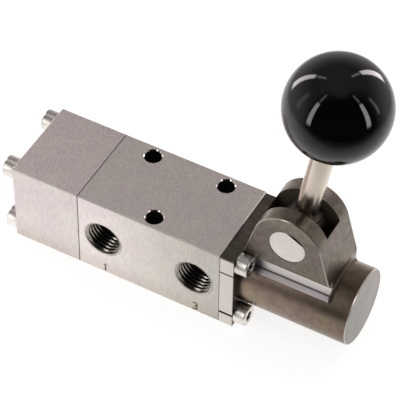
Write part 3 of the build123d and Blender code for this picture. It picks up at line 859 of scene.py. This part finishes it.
# -------------------------------- port threads
port_radius = 6.5785 * MM
thread_pitch = 1.337 * MM
thread_height = 0.856 * MM
thread_depth = 7.0 * MM
thread_gap = 0.02 * MM          # left at either end of that depth
root_gap, sleeve_gap = 0.04 * MM, 0.01 * MM     # from the bore's wall inwards
fade_from, fade_over = -0.2 * MM, 0.7 * MM      # depths over which the thread runs out
wave_fullness = 0.97            # near 0 the wave is a sine, at 1 a triangle


def make_thread(name, x, face_y, inward):
    """The thread in a port, as a sleeve whose inner radius is R - H * w(h / p - a / 2 pi).

    w is a rounded triangle wave. The thread runs out at the mouth.
    """
    columns, per_turn = 128, 14
    rows = int(thread_depth / thread_pitch * per_turn)
    height = np.linspace(thread_gap, thread_depth - thread_gap, rows)[:, None]
    angle = np.linspace(0, FULL_TURN, columns, endpoint=False)[None, :]
    phase = height / thread_pitch - angle / FULL_TURN
    wave = np.arcsin(wave_fullness * np.sin(FULL_TURN * phase)) / math.asin(wave_fullness)
    fade = np.clip((height - fade_from) / fade_over, 0, 1)
    crest = (0.5 + 0.5 * wave) * fade
    inner = port_radius - root_gap - thread_height * crest
    outer = np.full((2, columns), port_radius - sleeve_gap)
    radius = np.concatenate([inner, outer, inner[:1]])
    crest = np.concatenate([crest, 0 * outer, crest[:1]])
    depth = np.concatenate([height, height[-1:], height[:1], height[:1]]) + 0 * angle
    points = np.stack([
        x + radius * np.cos(angle),
        face_y + inward * depth,
        axis_height + radius * np.sin(angle),
    ], axis=-1)
    if inward < 0:
        points, crest = points[:, ::-1], crest[:, ::-1]
    piece = skin(name, points, mark=("crest", crest))
    finish_piece(piece, "valve", "body_steel", material=thread_steel, sharp=50)


# -------------------------------- port numbers
figure_height = 3.1 * MM
figure_stroke = 0.58 * MM
figure_z = 2.5 * MM             # height of a figure's middle
keel_depth = 0.05 * MM          # how far a stroke reaches into the body


def stroke(name, path, face_y, outward):
    """A stamped line along a path of points (x, z): two raised lips beside a shallow valley."""
    path = np.asarray(path)
    ahead = np.gradient(path, axis=0)
    ahead = ahead / np.linalg.norm(ahead, axis=1)[:, None]
    across = np.stack([ahead[:, 1], -ahead[:, 0]], axis=1)
    share = np.array([-1, -0.8, -0.6, 0, 0.6, 0.8, 1])
    lift = np.array([-0.02, 0.03, 0.012, 0.006, 0.012, 0.03, -0.02]) * MM
    offset = share * figure_stroke / 2
    flat = path[:, None, :] + across[:, None, :] * offset[None, :, None]
    relief = face_y + outward * (0 * flat[..., 0] + lift)
    top = np.stack([flat[..., 0], relief, flat[..., 1]], axis=-1)
    keel = face_y - outward * np.full((len(path), 1), keel_depth)
    under = np.stack([flat[:, 3:4, 0], keel, flat[:, 3:4, 1]], axis=-1)
    ring = np.concatenate([top, under], axis=1)
    ends = [np.repeat(row.mean(axis=0)[None, None], ring.shape[1], axis=1)
            for row in (ring[0], ring[-1])]
    points = np.concatenate([ends[0], ring, ends[1]])
    if outward > 0:
        points = points[:, ::-1]
    return skin(name, points)


def arc_points(centre, radius, start, end, count=24):
    """Points of a circle's arc, from start to end in degrees."""
    angle = np.radians(np.linspace(start, end, count))
    return np.asarray(centre) + radius * np.stack([np.cos(angle), np.sin(angle)], axis=1)


def figure_paths(figure):
    """The strokes of a figure, in a box one high and centred on zero."""
    if figure == 1:
        return [np.array([(-0.2, 0.28), (0.0, 0.5), (0.0, 0.0), (0.0, -0.5)])]
    if figure == 2:
        bow = arc_points((0, 0.24), 0.26, 165, -35)
        foot = np.array([(-0.28, -0.5), (0.3, -0.5)])
        return [np.concatenate([bow, foot[:1]]), foot]
    upper = arc_points((0, 0.25), 0.25, 150, -90)
    lower = arc_points((0, -0.24), 0.26, 90, -150)
    return [np.concatenate([upper, lower[1:]])]


def make_figure(name, figure, x, face_y, outward):
    """A port's number, stamped under the port. Seen from the back, its X is turned round."""
    strokes = []
    for number, path in enumerate(figure_paths(figure)):
        across, up = figure_height * path[:, 0], figure_height * path[:, 1]
        placed = np.stack([x - outward * across, figure_z + up], axis=1)
        strokes.append(stroke(f"{name}_{number}", placed, face_y, outward))
    finish_piece(joined(name, strokes), "valve", "body_steel", material=stamped_steel, sharp=50)


port_x = 16.1 * MM
figure_shift = 0.6 * MM         # of the front figures from their ports, to the right
cap_screw_length, housing_screw_length = 30 * MM, 12 * MM
cap_left, flange_seat = float(cap_low[0]), float(housing_screw_high[0]) - head_height

make_knob()
make_rod()
make_pin()
make_screws("end_cap_screws_form", cap_left, -1, cap_screw_length, "end_cap_screws")
make_screws("housing_screws_form", flange_seat, 1, housing_screw_length, "housing_screws")
make_spring()
make_thread("port_1_thread", -port_x, front, 1)
make_thread("port_3_thread", port_x, front, 1)
make_thread("port_2_thread", 0.0, rear, -1)
make_figure("port_1_number", 1, figure_shift - port_x, front, -1)
make_figure("port_3_number", 3, figure_shift + port_x, front, -1)
make_figure("port_2_number", 2, 0.0, rear, 1)


# -------------------------------- camera
camera_place = (0.2133, -0.3802, 0.5069)
camera_turn = (28.16, 47.70, 0.92)      # azimuth, elevation and roll in degrees
lens, sensor = 188.75, 36.0             # in millimetres


def make_camera():
    """A long lens that looks down on the valve from the right of its front."""
    azimuth, elevation, roll = (math.radians(v) for v in camera_turn)
    along = math.cos(elevation)
    back = Vector((math.sin(azimuth) * along, -math.cos(azimuth) * along, math.sin(elevation)))
    level = Vector((math.cos(azimuth), math.sin(azimuth), 0))
    above = back.cross(level)
    right = math.cos(roll) * level + math.sin(roll) * above
    up = math.cos(roll) * above - math.sin(roll) * level
    data = bpy.data.cameras.new("camera")
    data.lens, data.sensor_width = lens, sensor
    camera = bpy.data.objects.new("camera", data)
    turn = Matrix((right, up, back)).transposed().to_4x4()
    camera.matrix_world = Matrix.Translation(camera_place) @ turn
    bpy.context.scene.collection.objects.link(camera)
    bpy.context.scene.camera = camera


# -------------------------------- light, floor and surroundings
# Bearings are in degrees from -Y towards +X, about the middle of the knob.
strip_distance = 0.45
white, rosy = (1.0, 0.985, 0.97), (1.0, 0.91, 0.93)
# Bearing, radiance and colour of each strip.
strips = ((-102.0, 6.8, rosy), (-30.0, 4.2, white), (84.0, 4.7, white), (166.0, 7.6, rosy))
# Bearing, radiance and width of each faint strip.
faint_strips = ((-64.0, 0.45, 0.10), (110.0, 1.1, 0.06))
strip_width, upper_width = 0.088, 0.066
strip_span, upper_span, faint_span = (0.0, 0.49), (0.47, 0.90), (0.06, 0.40)    # in height
knob_middle = pivot + rod_direction * knob_centre_reach


def soften_ends(data):
    """The lamp's glow fades towards all four of its sides."""
    data.use_nodes = True
    tree = data.node_tree
    place = add(tree, "ShaderNodeNewGeometry").outputs["Parametric"]
    across, along, _ = xyz(tree, place)
    glow = 1.0
    for share, end in ((across, 0.22), (along, 0.16)):
        glow = product(tree, glow, map_range(tree, share, 0.0, end),
                       map_range(tree, share, 1.0 - end, 1.0, 1.0, 0.0))
    put(tree, tree.nodes["Emission"], "Strength", glow)


def strip_light(name, bearing, span, width, radiance, colour):
    """An upright strip lamp that faces the knob. Its power is radiance * pi * area."""
    angle = math.radians(bearing)
    low, high = span
    place = Vector((knob_middle[0] + strip_distance * math.sin(angle),
                    -strip_distance * math.cos(angle), (low + high) / 2))
    data = bpy.data.lights.new(name, "AREA")
    data.shape = "RECTANGLE"
    data.size, data.size_y = width, high - low
    data.energy = radiance * math.pi * width * (high - low)
    data.color = colour
    soften_ends(data)
    lamp = bpy.data.objects.new(name, data)
    lamp.location = place
    inward = Vector((knob_middle[0] - place.x, -place.y, 0))
    lamp.rotation_euler = inward.to_track_quat("-Z", "Y").to_euler()
    bpy.context.scene.collection.objects.link(lamp)


def make_lamps():
    """Four strips with a fainter one above each, and two faint ones at the sides."""
    for number, (bearing, radiance, width) in enumerate(faint_strips):
        strip_light(f"faint_strip_{number}", bearing, faint_span, width, radiance, white)
    for number, (bearing, radiance, colour) in enumerate(strips):
        strip_light(f"strip_{number}", bearing, strip_span, strip_width, radiance, colour)
        strip_light(f"upper_strip_{number}", bearing, upper_span, upper_width, radiance / 4, colour)


def by_ray(tree, hidden, shown):
    """One shader for rays that show the background, straight from the camera or by gloss or
    glass, and another for the rest."""
    path = tree.nodes.new("ShaderNodeLightPath")
    kinds = ("Is Camera Ray", "Is Glossy Ray", "Is Transmission Ray")
    seen = largest(tree, *(path.outputs[kind] for kind in kinds))
    return numbered(tree, "ShaderNodeMixShader", seen, hidden, shown).outputs[0]


open_bearing = math.radians(36.0)
open_side = (math.sin(open_bearing), -math.cos(open_bearing), 0.0)


def make_world():
    """White where it is seen; shiny surfaces find a paper booth that is dark on its open side."""
    world = bpy.data.worlds.new("studio")
    bpy.context.scene.world = world
    world.use_nodes = True
    tree = world.node_tree
    tree.nodes.clear()
    path = tree.nodes.new("ShaderNodeLightPath")
    direction = add(tree, "ShaderNodeTexCoord").outputs["Generated"]
    up = xyz(tree, direction)[2]
    paper = math_node(tree, "ADD", map_range(tree, up, 0.0, 0.7, 0.55, 0.20),
                      map_range(tree, up, 0.7, 0.95, 0.0, 0.06))
    forward = vector_size(tree, "DOT_PRODUCT", direction, open_side)
    shade = largest(tree, map_range(tree, forward, -0.1, 0.55, 1.0, 0.03),
                      map_range(tree, up, 0.85, 0.98))
    booth = tinted(tree, (1.0, 0.97, 0.95), product(tree, paper, shade))
    background = mix_colour(tree, path.outputs["Is Camera Ray"], booth, (1.0, 1.0, 1.0))
    shown = add(tree, "ShaderNodeBackground", Color=background, Strength=1.0).outputs[0]
    grey = (0.45, 0.45, 0.45, 1.0)
    ambient = add(tree, "ShaderNodeBackground", Color=grey, Strength=1.0).outputs[0]
    numbered(tree, "ShaderNodeOutputWorld", by_ray(tree, ambient, shown))


floor_radius, floor_sides, floor_height = 0.36, 96, -0.02 * MM


def floor_material():
    """A pale matt floor that shows white, keeps a soft shadow, and fades to white at its rim.

    Shiny surfaces see it dim towards the booth's open side.
    """
    material = bpy.data.materials.new("pale_floor")
    material.use_nodes = True
    tree = material.node_tree
    tree.nodes.clear()
    matt = add(tree, "ShaderNodeBsdfDiffuse", Color=(0.85, 0.85, 0.85, 1.0)).outputs[0]
    place = shaded_point(tree)
    reach = vector_size(tree, "LENGTH", place)
    rim = map_range(tree, reach, 0.6 * floor_radius, 0.95 * floor_radius)
    forward = vector_size(tree, "DOT_PRODUCT", place, open_side)
    dim = product(tree, map_range(tree, forward, 0.0, 0.13, 1.0, 0.52),
                  map_range(tree, forward, 0.10, 0.19, 1.0, 0.18),
                  map_range(tree, forward, 0.19, 0.28, 1.0, 0.1),
                  map_range(tree, reach, 0.14, floor_radius, 1.0, 0.5))
    path = tree.nodes.new("ShaderNodeLightPath")
    level = largest(tree, dim, path.outputs["Is Camera Ray"])
    lit_colour = mix_colour(tree, rim, (0.40, 0.40, 0.40), (0.0, 0.0, 0.0))
    glow_colour = mix_colour(tree, rim, (0.79, 0.79, 0.785), (1.0, 1.0, 1.0))
    lit = add(tree, "ShaderNodeBsdfDiffuse", Color=tinted(tree, lit_colour, level)).outputs[0]
    glow = add(tree, "ShaderNodeEmission", Color=tinted(tree, glow_colour, level),
               Strength=1.0).outputs[0]
    both = numbered(tree, "ShaderNodeAddShader", lit, glow).outputs[0]
    numbered(tree, "ShaderNodeOutputMaterial", by_ray(tree, matt, both))
    return material


def make_floor():
    """A round table top under the valve."""
    angle = np.linspace(0, FULL_TURN, floor_sides, endpoint=False)
    rim = np.stack([floor_radius * np.cos(angle), floor_radius * np.sin(angle),
                    np.full(floor_sides, floor_height)], axis=1)
    floor = new_piece("floor", rim.tolist(), [list(range(floor_sides))], smooth=False)
    floor.data.materials.append(floor_material())


make_camera()
make_lamps()
make_world()
make_floor()
bpy.context.scene.view_settings.view_transform = "Standard"
